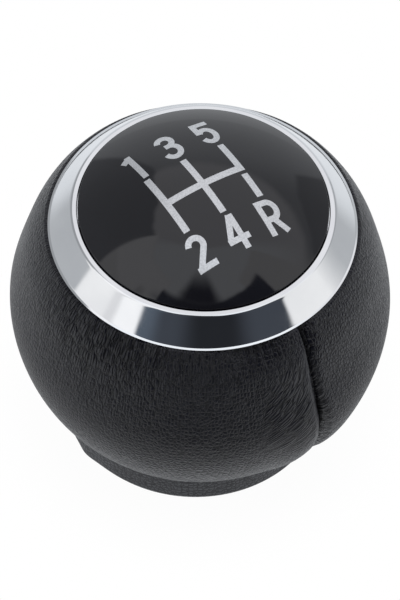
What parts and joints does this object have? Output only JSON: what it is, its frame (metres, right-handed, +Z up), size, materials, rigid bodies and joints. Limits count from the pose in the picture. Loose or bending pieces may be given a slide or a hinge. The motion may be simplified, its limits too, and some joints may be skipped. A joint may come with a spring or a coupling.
{
  "type": "gear shift knob",
  "caption": "Round leather-wrapped gear knob with a sewn seam, bright bevelled ring, domed gloss cap with a shift pattern, and a lower collar round a threaded insert for the lever.",
  "frame": {"origin": "centre of the base, on the collar's lower face", "axes": "+Z up along the knob's axis, +Y forward, the way that the first row of the shift pattern faces, +X right"},
  "size_m": [0.052, 0.052, 0.0473],
  "materials": {
    "core_plastic": "moulded, matt",
    "insert_brass": "turned and threaded",
    "black_leather": "fine pebble grain",
    "sewing_thread": "twisted thread",
    "collar_plastic": "satin, fine grain",
    "bright_ring": "bright chrome plate",
    "gloss_cap": "high gloss, printed pattern"
  },
  "bodies": {
    "root": {"knob_core": "core_plastic", "threaded_insert": "insert_brass", "leather_cover": "black_leather", "seam_thread": "sewing_thread", "base_collar": "collar_plastic", "trim_ring": "bright_ring", "pattern_cap": "gloss_cap"}
  },
  "joints": []
}
